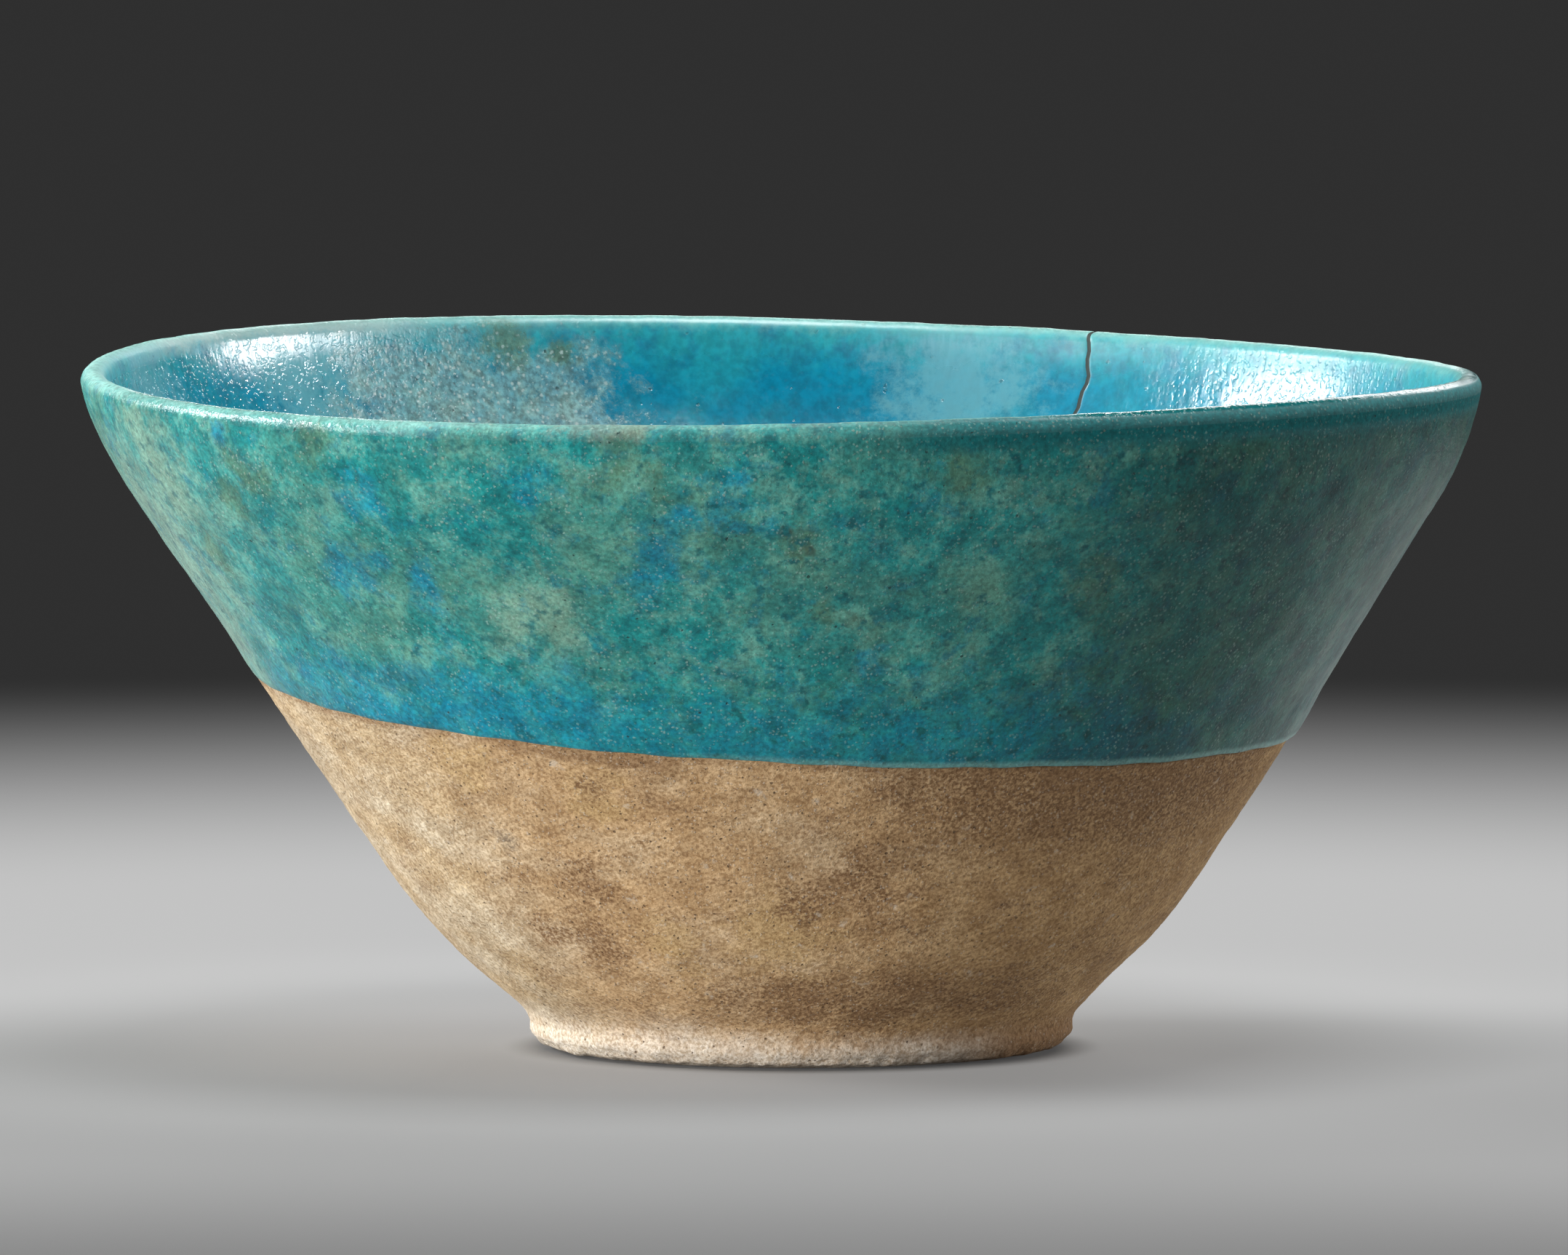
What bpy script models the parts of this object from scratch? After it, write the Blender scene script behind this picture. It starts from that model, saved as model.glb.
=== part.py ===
"""A conical stonepaste bowl: a moulded body luted to a foot ring, glazed inside and on the upper outside.

Metres, +Z up. The bowl stands on Z = 0, the origin is under the middle of its rim, and -Y is its front.
Sections are drawn as (radius, height) points and spun round the axis. A point on a section's skin carries
its heading, the direction of travel along the skin, so that a coat can be laid at its own distance from it.
"""

from math import asin, atan2, cos, pi, radians, sin, tau

import bmesh
import bpy
from mathutils import Vector

# Overall size, over the glaze
RIM_RADIUS = 0.0850
HEIGHT = 0.0823

# Outside of the moulded body: a turn above the foot, a straight cone and a turn into the upright lip
WALL_OVERHANG = 0.0014
SPRING_ANGLE = radians(36.5)
BELLY_BEND = 0.0647
SHOULDER_BEND = 0.0385
LIP_ANGLE = radians(79.2)
LIP_THICKNESS = 0.0017

# Inside of the moulded body: a flat well and the turn from it into the cone
FLOOR_THICKNESS = 0.0055
WELL_RADIUS = 0.0160
WELL_BEND = 0.0400

# Foot ring, and the slip that joins it to the body
FOOT_RADIUS = 0.0329
FOOT_WALL = 0.0074
FOOT_HEIGHT = 0.0044
FOOT_OUTER_ROUND = 0.0019
FOOT_INNER_ROUND = 0.0008
SLIP_THICKNESS = 0.0007

# Glaze, and the tilted surface of the glaze vat that left its edge on the outside
GLAZE_THICKNESS = 0.00045
DIP_HEIGHT = 0.0406
DIP_TILT = radians(3.84)
DIP_HIGH_SIDE = radians(166.8)

# Warp of the wet clay: the foot off the rim's centre, and a rim that sags where it splays and tilts
FOOT_OFFSET = 0.0024
RIM_SAG = 0.00095
RIM_SPLAY = 0.0014
RIM_TILT = 0.0006

# Clearance between pieces that touch, and how finely round stretches are divided
BOND_GAP = 0.0003
TURN_STEPS = 64
BEND_STEPS = 5
WELL_STEPS = 7
LIP_STEPS = 6
ROUND_STEPS = 4
MERGE_DISTANCE = 1e-6
SHARP_ANGLE = radians(40)

# Places that follow from the sizes
COAT = BOND_GAP + GLAZE_THICKNESS
SLIP_BED = FOOT_HEIGHT + BOND_GAP
SEAT_HEIGHT = SLIP_BED + SLIP_THICKNESS + BOND_GAP
SEAT_RADIUS = FOOT_RADIUS + WALL_OVERHANG
FOOT_BORE = FOOT_RADIUS - FOOT_WALL
FLOOR_HEIGHT = SEAT_HEIGHT + FLOOR_THICKNESS


def forward(heading):
    """Unit step along a heading."""
    return Vector((cos(heading), sin(heading)))


def left_of(heading):
    """Unit step to the left of a heading."""
    return Vector((-sin(heading), cos(heading)))


def arc(centre, radius, first, last, steps):
    """Skin points on an arc that turns left round its centre, from one heading to another."""
    headings = [first + (last - first) * step / steps for step in range(steps + 1)]
    return [(centre - left_of(heading) * radius, heading) for heading in headings]


def wall(start, start_heading, start_bend, start_steps, end, end_heading, end_bend):
    """Skin points of a wall that climbs from start to end: two arcs and the straight line touching both."""
    low = start + left_of(start_heading) * start_bend
    high = end + left_of(end_heading) * end_bend
    between = high - low
    cone = atan2(between.y, between.x) - asin((end_bend - start_bend) / between.length)
    belly = arc(low, start_bend, start_heading, cone, start_steps)
    shoulder = arc(high, end_bend, cone, end_heading, BEND_STEPS)
    return belly + shoulder


def outline(skin, distance=0.0):
    """The skin's points, moved out of the clay by a distance."""
    return [point - left_of(heading) * distance for point, heading in skin]


def lip_skin():
    """The round lip, from its outer to its inner corner. Its coat touches the rim radius and the height."""
    half = LIP_THICKNESS / 2
    centre = Vector((RIM_RADIUS - COAT - half, HEIGHT - COAT - half))
    return arc(centre, half, LIP_ANGLE, LIP_ANGLE + pi, LIP_STEPS)


def outer_skin():
    """The outside of the wall, from the seat on the foot up to the lip's outer corner."""
    seat = Vector((SEAT_RADIUS, SEAT_HEIGHT))
    corner, heading = lip_skin()[0]
    return wall(seat, SPRING_ANGLE, BELLY_BEND, BEND_STEPS, corner, heading, SHOULDER_BEND)


def inner_skin():
    """The inside of the wall, from the lip's inner corner down to the middle of the floor."""
    well = Vector((WELL_RADIUS, FLOOR_HEIGHT))
    corner, heading = lip_skin()[-1]
    climb = wall(well, 0.0, WELL_BEND, WELL_STEPS, corner, heading - pi, SHOULDER_BEND - LIP_THICKNESS)
    descent = [(point, upward + pi) for point, upward in reversed(climb)]
    return descent + [(Vector((0.0, FLOOR_HEIGHT)), pi)]


def turned(section, closed):
    """Spins a section round the axis. An open section starts and ends on the axis."""
    mesh = bmesh.new()
    verts = [mesh.verts.new((point.x, 0.0, point.y)) for point in section]
    edges = [mesh.edges.new(pair) for pair in zip(verts, verts[1:])]
    if closed:
        edges.append(mesh.edges.new((verts[-1], verts[0])))
    bmesh.ops.spin(
        mesh,
        geom=verts + edges,
        cent=(0, 0, 0),
        axis=(0, 0, 1),
        angle=tau,
        steps=TURN_STEPS,
        use_merge=True,
    )
    bmesh.ops.remove_doubles(mesh, verts=mesh.verts, dist=MERGE_DISTANCE)
    bmesh.ops.recalc_face_normals(mesh, faces=mesh.faces)
    return mesh


def warped(place):
    """Where the wet clay's lean, sag, splay and tilt carry a point of the true turned shape."""
    rise = place.z / HEIGHT
    swing = sin(2 * atan2(place.y, place.x)) * rise**2
    spread = 1 + swing * RIM_SPLAY / RIM_RADIUS
    lean = FOOT_OFFSET * (1 - rise)
    sag = swing * RIM_SAG + place.x / RIM_RADIUS * rise**2 * RIM_TILT
    return Vector((place.x * spread + lean, place.y * spread, place.z - sag))


def clay_finish(name, colour, roughness):
    """A plain finish of one colour."""
    material = bpy.data.materials.new(name)
    material.use_nodes = True
    shader = material.node_tree.nodes["Principled BSDF"]
    shader.inputs["Base Color"].default_value = (*colour, 1.0)
    shader.inputs["Roughness"].default_value = roughness
    shader.inputs["Metallic"].default_value = 0.0
    return material


def add_piece(name, mesh, material):
    """Warps a turned mesh and makes it a named object of its own."""
    for vert in mesh.verts:
        vert.co = warped(vert.co)
    data = bpy.data.meshes.new(name)
    mesh.to_mesh(data)
    mesh.free()
    data.materials.append(material)
    data.shade_smooth()
    data.set_sharp_from_angle(angle=SHARP_ANGLE)
    bpy.context.collection.objects.link(bpy.data.objects.new(name, data))


def moulded_body():
    """The stonepaste cone, wall and floor in one piece, on a flat seat for the foot."""
    seat_centre = [Vector((0.0, SEAT_HEIGHT))]
    skin = outer_skin() + lip_skin()[1:] + inner_skin()[1:]
    return turned(seat_centre + outline(skin), closed=False)


def foot_ring():
    """The ring that the bowl stands on, with a worn outer edge."""
    worn_centre = Vector((FOOT_RADIUS - FOOT_OUTER_ROUND, FOOT_OUTER_ROUND))
    bore_centre = Vector((FOOT_BORE + FOOT_INNER_ROUND, FOOT_INNER_ROUND))
    worn_edge = arc(worn_centre, FOOT_OUTER_ROUND, 0.0, pi / 2, ROUND_STEPS)
    bore_edge = arc(bore_centre, FOOT_INNER_ROUND, -pi / 2, 0.0, ROUND_STEPS)
    top = [Vector((FOOT_RADIUS, FOOT_HEIGHT)), Vector((FOOT_BORE, FOOT_HEIGHT))]
    return turned(outline(worn_edge) + top + outline(bore_edge), closed=True)


def luting_slip():
    """The bed of slip between ring and body. What was squeezed out is the hollow fillet round the foot."""
    shares = [step / ROUND_STEPS for step in range(ROUND_STEPS + 1)]
    fillet = [Vector((FOOT_RADIUS + WALL_OVERHANG * u**2, SLIP_BED + SLIP_THICKNESS * u)) for u in shares]
    bore = [Vector((FOOT_BORE, SLIP_BED + SLIP_THICKNESS)), Vector((FOOT_BORE, SLIP_BED))]
    return turned(fillet + bore, closed=True)


def inner_glaze():
    """The coat poured inside, from the middle of the floor up and over the lip to its outer corner."""
    skin = lip_skin() + inner_skin()[1:]
    surface = outline(skin, COAT)
    underside = outline(skin, BOND_GAP)
    return turned(surface[::-1] + underside, closed=False)


def outer_glaze():
    """The coat dipped on the outside, from the lip down to where the tilted vat's surface cut it off."""
    skin = outer_skin()
    corner, heading = skin[-1]
    skin[-1] = (corner - forward(heading) * BOND_GAP, heading)
    mesh = turned(outline(skin, COAT) + outline(skin, BOND_GAP)[::-1], closed=True)
    lean = forward(DIP_HIGH_SIDE) * -sin(DIP_TILT)
    bmesh.ops.bisect_plane(
        mesh,
        geom=mesh.verts[:] + mesh.edges[:] + mesh.faces[:],
        plane_co=(0.0, 0.0, DIP_HEIGHT),
        plane_no=(lean.x, lean.y, cos(DIP_TILT)),
        clear_inner=True,
    )
    bmesh.ops.bridge_loops(mesh, edges=[edge for edge in mesh.edges if edge.is_boundary])
    bmesh.ops.recalc_face_normals(mesh, faces=mesh.faces)
    return mesh


def main():
    for leftover in list(bpy.data.objects):
        bpy.data.objects.remove(leftover)
    stonepaste = clay_finish("stonepaste", (0.55, 0.44, 0.31), 0.85)
    foot_clay = clay_finish("worn_stonepaste", (0.60, 0.51, 0.40), 0.90)
    slip_clay = clay_finish("slip", (0.56, 0.46, 0.34), 0.90)
    inside_glaze = clay_finish("turquoise_glaze_inside", (0.02, 0.30, 0.40), 0.20)
    outside_glaze = clay_finish("turquoise_glaze_outside", (0.06, 0.28, 0.27), 0.35)
    add_piece("moulded_body", moulded_body(), stonepaste)
    add_piece("foot_ring", foot_ring(), foot_clay)
    add_piece("luting_slip", luting_slip(), slip_clay)
    add_piece("inner_glaze", inner_glaze(), inside_glaze)
    add_piece("outer_glaze", outer_glaze(), outside_glaze)


main()
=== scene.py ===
"""Looks of a conical stonepaste bowl: bare clay body, foot ring and slip, and a mottled turquoise glaze.

Metres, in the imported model's frame: +Z up, the front towards -Y, the origin under the middle of the rim.
Each piece is drawn as a section of (radius, height) points and turned round the axis. The crack, the wall's
dents and the wet clay's warp come next, and after them the grain and the wear of the piece's own surface.
"""

from functools import cached_property, reduce
from math import asin, atan2, ceil, cos, pi, radians, sin, tan, tau

import bpy
import numpy as np
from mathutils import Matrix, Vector


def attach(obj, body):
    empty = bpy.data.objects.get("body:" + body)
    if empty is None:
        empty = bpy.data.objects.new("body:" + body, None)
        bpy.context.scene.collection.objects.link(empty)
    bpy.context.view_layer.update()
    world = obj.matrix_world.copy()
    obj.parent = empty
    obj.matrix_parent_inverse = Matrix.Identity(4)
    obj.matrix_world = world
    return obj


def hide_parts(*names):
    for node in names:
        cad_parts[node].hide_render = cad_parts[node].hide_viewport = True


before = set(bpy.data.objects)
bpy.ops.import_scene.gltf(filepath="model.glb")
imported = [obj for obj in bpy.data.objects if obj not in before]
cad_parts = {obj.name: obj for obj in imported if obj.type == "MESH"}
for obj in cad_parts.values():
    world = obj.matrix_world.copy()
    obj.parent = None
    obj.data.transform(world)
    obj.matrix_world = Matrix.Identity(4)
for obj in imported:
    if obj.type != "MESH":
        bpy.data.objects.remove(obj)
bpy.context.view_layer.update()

MM = 0.001

# Sizes of the model, as its source has them or adds them up
RIM_RADIUS = 0.0850
HEIGHT = 0.0823
SPRING_ANGLE = radians(36.5)
BELLY_BEND = 0.0647
SHOULDER_BEND = 0.0385
LIP_ANGLE = radians(79.2)
LIP_THICKNESS = 0.0017
SEAT_RADIUS = 0.0343
SEAT_HEIGHT = 0.0057
FLOOR_HEIGHT = 0.0112
WELL_RADIUS = 0.0160
WELL_BEND = 0.0400
FOOT_RADIUS = 0.0329
FOOT_BORE = 0.0255
FOOT_HEIGHT = 0.0044
FOOT_OUTER_ROUND = 0.0019
FOOT_INNER_ROUND = 0.0008
COAT = 0.00075
DIP_HEIGHT = 0.0406
DIP_TILT = radians(3.84)
DIP_HIGH_SIDE = radians(166.8)
FOOT_OFFSET = 0.0024
RIM_SAG = 0.00095
RIM_SPLAY = 0.0014
RIM_TILT = 0.0006

# How finely the pieces are divided
CLAY_TURNS = 576
GLAZE_TURNS = 640
FOOT_TURNS = 560
CLAY_SPACING = 0.5 * MM
GLAZE_SPACING = 0.5 * MM
FOOT_SPACING = 0.42 * MM
FLOOR_SPACING = 2.4 * MM
LIP_SPACING = 0.3 * MM
INSIDE_SPACING = 1.15 * MM
HIDDEN_SPACING = 5.0 * MM
WEIGHT_STEPS = 50
MERGE_DISTANCE = 1e-6

# Shares of a flat layout: what is hidden of a clay piece, and what is shown and hidden of a coat
HIDDEN_CLAY = 0.04
SHOWN_COAT = 0.95
HIDDEN_COAT = 0.04

# The glaze's lower edge: (distance along the wall, lift off the clay) round the bead, and its taper above
BEAD = [(0.00, -0.15), (-0.03, 0.04), (0.02, 0.19), (0.12, 0.31), (0.28, 0.40)]
BEAD_LIFT = 0.45 * MM
BEAD_TOP = 0.45 * MM
BEAD_TAPER = 5.0 * MM
UNDERCUT = 0.35 * MM
BED_DEPTH = 0.09 * MM
BED_START = 2.0 * MM
SLIDE_TOP = 0.065

# The slip's section, in millimetres: its shown hollow from the foot up to the wall, and its hidden back
SLIP_FACE = [(32.20, 2.60), (32.55, 2.85), (32.78, 3.15), (32.91, 3.50), (33.05, 3.87), (33.21, 4.25)]
SLIP_FACE += [(33.44, 4.65), (33.73, 5.02), (34.08, 5.38), (34.50, 5.78), (34.96, 6.17), (35.46, 6.60)]
SLIP_FACE += [(35.98, 7.03), (36.50, 7.45), (36.90, 7.85)]
SLIP_BACK = [(36.60, 8.05), (34.60, 6.60), (33.20, 5.60), (32.20, 5.50), (30.50, 5.40), (28.00, 5.40)]
SLIP_BACK += [(FOOT_BORE / MM + 0.05, 5.45), (FOOT_BORE / MM + 0.05, 4.60), (28.00, 4.70), (31.60, 4.70)]
SLIP_BACK += [(32.05, 4.00), (31.95, 3.00)]

# The wall's unevenness: (millimetres, waves in a turn, phase, climb that moves the phase by 1). Its dents:
# (1 on the right or -1 on the left, then depth, height and reach in millimetres)
SWELLS = [(0.10, 3, 1.1, 0.018), (0.09, 5, -0.7, 0.011), (0.05, 9, 2.0, -0.007), (0.03, 17, 0.5, 0.005)]
DENTS = [(1, 0.78, 8.8, 4.5), (1, 0.60, 20.0, 9.0), (1, 0.35, 76.0, 7.0)]
DENTS += [(-1, 0.40, 53.0, 9.0), (-1, 0.50, 71.0, 6.0)]

# The crack in the far wall
CRACK_SIDE = radians(63.0)
CRACK_INSIDE = 34.0 * MM
CRACK_OUTSIDE = 26.0 * MM
CRACK_DEPTH = 0.16 * MM
CRACK_FADE = 5.0 * MM
CRACK_ZONE = 8.0 * MM

# Photograph's camera
IMAGE_WIDTH = 2156
CAMERA_PLACE = Vector((0.0002, -5.0, 0.4676))
CAMERA_AIM = Vector((0.0002, 0.0, 0.0510))
FOCAL_PIXELS = 56890
SENSOR = 36.0

# Greys of the surroundings: as light on the bowl, and as the camera sees them
FILL_LIGHT = (0.020, 0.020, 0.020)
BACKDROP = (0.029, 0.029, 0.029)


# Sections


def forward(heading):
    """Unit step along a heading."""
    return Vector((cos(heading), sin(heading)))


def left_of(heading):
    """Unit step to the left of a heading."""
    return Vector((-sin(heading), cos(heading)))


def arc(centre, radius, first, last, spacing):
    """Skin points, each with its heading, on an arc that turns left round its centre."""
    steps = max(2, ceil(radius * abs(last - first) / spacing))
    headings = [first + (last - first) * step / steps for step in range(steps + 1)]
    return [(centre - left_of(heading) * radius, heading) for heading in headings]


def line(start, end, spacing):
    """Skin points on the straight line between two points, without its ends."""
    way = end - start
    steps = ceil(way.length / spacing)
    heading = atan2(way.y, way.x)
    return [(start + way * step / steps, heading) for step in range(1, steps)]


def wall(start, start_heading, start_bend, end, end_heading, end_bend, spacing):
    """Skin points of a wall that climbs from start to end: two arcs and the straight line touching both."""
    low = start + left_of(start_heading) * start_bend
    high = end + left_of(end_heading) * end_bend
    between = high - low
    cone = atan2(between.y, between.x) - asin((end_bend - start_bend) / between.length)
    belly = arc(low, start_bend, start_heading, cone, spacing)
    shoulder = arc(high, end_bend, cone, end_heading, spacing)
    return belly + line(belly[-1][0], shoulder[0][0], spacing) + shoulder


def lip_skin(spacing):
    """The round lip, from its outer to its inner corner."""
    half = LIP_THICKNESS / 2
    centre = Vector((RIM_RADIUS - COAT - half, HEIGHT - COAT - half))
    return arc(centre, half, LIP_ANGLE, LIP_ANGLE + pi, spacing)


def outer_skin(spacing):
    """The outside of the wall, from the seat on the foot up to the lip's outer corner."""
    seat = Vector((SEAT_RADIUS, SEAT_HEIGHT))
    corner, heading = lip_skin(LIP_SPACING)[0]
    return wall(seat, SPRING_ANGLE, BELLY_BEND, corner, heading, SHOULDER_BEND, spacing)


def inner_skin(spacing):
    """The inside of the wall, from the lip's inner corner down to the middle of the floor."""
    well = Vector((WELL_RADIUS, FLOOR_HEIGHT))
    middle = Vector((0.0, FLOOR_HEIGHT))
    corner, heading = lip_skin(LIP_SPACING)[-1]
    bend = SHOULDER_BEND - LIP_THICKNESS
    climb = wall(well, 0.0, WELL_BEND, corner, heading - pi, bend, spacing)
    descent = [(point, upward + pi) for point, upward in reversed(climb)]
    return descent + line(well, middle, spacing) + [(middle, pi)]


def lifted(skin, distance):
    """The skin's points, moved off the clay by a distance."""
    return [point - left_of(heading) * distance for point, heading in skin]


def glaze_edge():
    """The glaze's edge on the outer wall at its middle height, and the wall's heading there."""
    point, heading = next(skin for skin in outer_skin(CLAY_SPACING) if skin[0].y > DIP_HEIGHT)
    return point + forward(heading) * (DIP_HEIGHT - point.y) / sin(heading), heading


EDGE, CONE = glaze_edge()


# Modelling


def activate(piece):
    """Makes a piece the only selected one, and the active one."""
    bpy.ops.object.select_all(action="DESELECT")
    piece.select_set(True)
    bpy.context.view_layer.objects.active = piece


def start_editing():
    """Opens the active piece's mesh."""
    bpy.ops.object.mode_set(mode="EDIT")


def stop_editing():
    """Closes the active piece's mesh."""
    bpy.ops.object.mode_set(mode="OBJECT")


def numbers(items, name, width=1, kind=np.float32):
    """One property of many mesh items, as an array."""
    values = np.zeros(len(items) * width, kind)
    items.foreach_get(name, values)
    return values.reshape(-1, width) if width > 1 else values


def places_of(piece):
    """Where a piece's points are."""
    return numbers(piece.data.vertices, "co", 3).astype(float)


def corners_of(mesh):
    """The point at each corner of a mesh's faces, and each face's first corner and number of corners."""
    corner = numbers(mesh.loops, "vertex_index", kind=np.int32)
    first = numbers(mesh.polygons, "loop_start", kind=np.int32)
    return corner, first, numbers(mesh.polygons, "loop_total", kind=np.int32)


def put(piece, places):
    """Moves a piece's points."""
    piece.data.vertices.foreach_set("co", places.astype(np.float32).ravel())
    piece.data.update()


def mark(piece, name, values):
    """Stores a value on each point, for the materials to read."""
    attribute = piece.data.attributes.new(name, "FLOAT", "POINT")
    attribute.data.foreach_set("value", np.asarray(values, np.float32))


def drawn(name, section):
    """Draws a section point by point in the XZ plane, starting from a plane that is welded to one point."""
    bpy.ops.object.select_all(action="DESELECT")
    bpy.ops.mesh.primitive_plane_add(size=MM)
    piece = bpy.context.active_object
    piece.name = piece.data.name = name
    start_editing()
    bpy.ops.mesh.select_mode(type="VERT")
    bpy.ops.mesh.select_all(action="SELECT")
    bpy.ops.mesh.merge(type="CENTER")
    bpy.ops.transform.translate(value=(section[0].x, 0.0, section[0].y))
    for before, after in zip(section, section[1:]):
        step = (after.x - before.x, 0.0, after.y - before.y)
        bpy.ops.mesh.extrude_region_move(TRANSFORM_OT_translate={"value": step})
    bpy.ops.mesh.select_all(action="SELECT")
    bpy.ops.mesh.remove_doubles(threshold=MERGE_DISTANCE)
    stop_editing()
    return piece


def turned(name, section, turns):
    """Turns a drawn section round the axis. Returns the piece and each point's number in the section."""
    piece = drawn(name, section)
    radius, _, height = places_of(piece).T
    points = np.array([(point.x, point.y) for point in section])
    gaps = np.hypot(radius[:, None] - points[:, 0], height[:, None] - points[:, 1])
    mark(piece, "ring", gaps.argmin(1))
    screw = piece.modifiers.new("turn", "SCREW")
    screw.angle = tau
    screw.steps = screw.render_steps = turns
    screw.use_merge_vertices = True
    screw.merge_threshold = MERGE_DISTANCE
    screw.use_smooth_shade = True
    bpy.ops.object.modifier_apply(modifier=screw.name)
    start_editing()
    bpy.ops.mesh.select_all(action="SELECT")
    bpy.ops.mesh.remove_doubles(threshold=MERGE_DISTANCE)
    bpy.ops.mesh.normals_make_consistent(inside=False)
    stop_editing()
    ring = numbers(piece.data.attributes["ring"].data, "value").round().astype(int)
    piece.data.attributes.remove(piece.data.attributes["ring"])
    return piece, ring


def lay_flat(piece, across):
    """Gives a turned piece a flat layout: once round the axis one way, along its section the other."""
    mesh = piece.data
    while mesh.uv_layers:
        mesh.uv_layers.remove(mesh.uv_layers[0])
    places = places_of(piece)
    turn = np.arctan2(places[:, 1], places[:, 0]) / tau % 1.0
    on_axis = np.hypot(places[:, 0], places[:, 1]) < MERGE_DISTANCE
    turn[on_axis] = 0.0
    corner, first, sides = corners_of(mesh)
    furthest = np.repeat(np.maximum.reduceat(turn[corner], first), sides)
    round_axis = turn[corner]
    round_axis[(furthest - round_axis) > 0.5] += 1.0
    round_axis[on_axis[corner]] = furthest[on_axis[corner]]
    layer = mesh.uv_layers.new(name="OFBake")
    layer.data.foreach_set("uv", np.stack([round_axis, across[corner]], 1).astype(np.float32).ravel())


def steps_between(points):
    """The distance of each point from the one before it."""
    return np.array([0.0] + [(after - before).length for before, after in zip(points, points[1:])])


def shares(points, hidden):
    """Where each section point lies across the layout. The hidden stretch at the end gets a thin strip."""
    lengths = steps_between(points)
    stretch = np.where(hidden, 0.0, lengths).cumsum()
    thin = np.where(hidden, lengths, 0.0).cumsum()
    return (stretch / stretch[-1]) * (1 - HIDDEN_CLAY) + thin / thin[-1] * HIDDEN_CLAY


def weigh(piece, name, weights):
    """Makes a vertex group with a weight for each point."""
    group = piece.vertex_groups.new(name=name)
    levels = (np.clip(weights, 0.0, 1.0) * WEIGHT_STEPS).round().astype(int)
    for level in range(1, WEIGHT_STEPS + 1):
        members = np.flatnonzero(levels == level)
        if len(members):
            group.add(members.tolist(), level / WEIGHT_STEPS, "REPLACE")


def roughen(piece, group, size, depth, detail=2, level=0.5):
    """Moves a group's points in and out by cloudy lumps of a size. At level 1 they only move in."""
    lumps = bpy.data.textures.new(f"{piece.name}_lumps", "CLOUDS")
    lumps.noise_scale = size
    lumps.noise_depth = detail
    displace = piece.modifiers.new("roughen", "DISPLACE")
    displace.texture = lumps
    displace.texture_coords = "LOCAL"
    displace.vertex_group = group
    displace.strength = depth
    displace.mid_level = level
    activate(piece)
    bpy.ops.object.modifier_apply(modifier=displace.name)


def smoothly(values, low, high):
    """0 below low, 1 above high and a smooth climb between."""
    share = np.clip((values - low) / (high - low), 0.0, 1.0)
    return share * share * (3 - 2 * share)


def azimuths(places):
    """The angle of each place round the axis: 0 on the right, a quarter turn at the back."""
    return np.arctan2(places[:, 1], places[:, 0])


def ways_on_cone(azimuth):
    """Unit steps up along the straight wall and off it, at each azimuth."""
    outward = np.stack([np.cos(azimuth), np.sin(azimuth), np.zeros(len(azimuth))], 1)
    up = np.array([0.0, 0.0, 1.0])
    return outward * cos(CONE) + up * sin(CONE), outward * sin(CONE) - up * cos(CONE)


def dip_slide(azimuth):
    """How far along the wall the glaze's edge lies from its middle height, at each azimuth."""
    swing = tan(DIP_TILT) * np.cos(azimuth - DIP_HIGH_SIDE)
    rise = swing * EDGE.x / (1 - swing / tan(CONE))
    ripples = 0.22 * np.sin(3 * azimuth + 0.4) + 0.10 * np.sin(11 * azimuth + 1.0)
    ripples += 0.06 * np.sin(29 * azimuth) + 0.05 * np.sin(47 * azimuth + 2.0)
    ripples += 0.72 + 0.52 * np.cos(azimuth) + 0.88 * np.cos(2 * azimuth + 0.35)
    return rise / sin(CONE) + ripples * MM


def above_edge(places):
    """Distance along the outer wall above the glaze's edge."""
    return (places[:, 2] - DIP_HEIGHT) / sin(CONE) - dip_slide(azimuths(places))


def uneven(places):
    """The wall's slight unevenness from the mould and the hand, none at the foot."""
    azimuth, height = azimuths(places), places[:, 2]
    swell = np.zeros(len(places))
    for amount, waves, phase, climb in SWELLS:
        swell += amount * np.sin(waves * azimuth + phase + height / climb)
    for sign, depth, middle, reach in DENTS:
        facing = np.maximum(sign * np.cos(azimuth), 0.0) ** 2
        swell -= depth * facing * np.exp(-(((height / MM - middle) / reach) ** 2))
    spread = swell * MM * smoothly(height, 0.0045, 0.009) / np.maximum(np.hypot(*places[:, :2].T), MM)
    return places * np.stack([1 + spread, 1 + spread, np.ones(len(places))], 1)


def warped(places):
    """The wet clay's lean, sag, splay and tilt."""
    x, y, z = places.T
    rise = z / HEIGHT
    swing = np.sin(2 * azimuths(places)) * rise**2
    spread = 1 + swing * RIM_SPLAY / RIM_RADIUS
    lean = FOOT_OFFSET * (1 - rise)
    sag = swing * RIM_SAG + x / RIM_RADIUS * rise**2 * RIM_TILT
    return np.stack([x * spread + lean, y * spread, z - sag], 1)


def on_skin(skin, azimuth, height):
    """A place on a skin of points that climb, by its azimuth in degrees and its height in millimetres."""
    radius = np.interp(height * MM, [point.y for point in skin], [point.x for point in skin])
    side = radians(azimuth)
    return warped(np.array([[radius * cos(side), radius * sin(side), height * MM]]))[0]


def on_wall(azimuth, height):
    """A place on the outside of the bowl."""
    return on_skin(lifted(outer_skin(CLAY_SPACING), COAT), azimuth, height)


def in_bowl(azimuth, height):
    """A place on the inside of the bowl."""
    return on_skin(lifted(inner_skin(INSIDE_SPACING), COAT)[::-1], azimuth, height)


# Pieces


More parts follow.
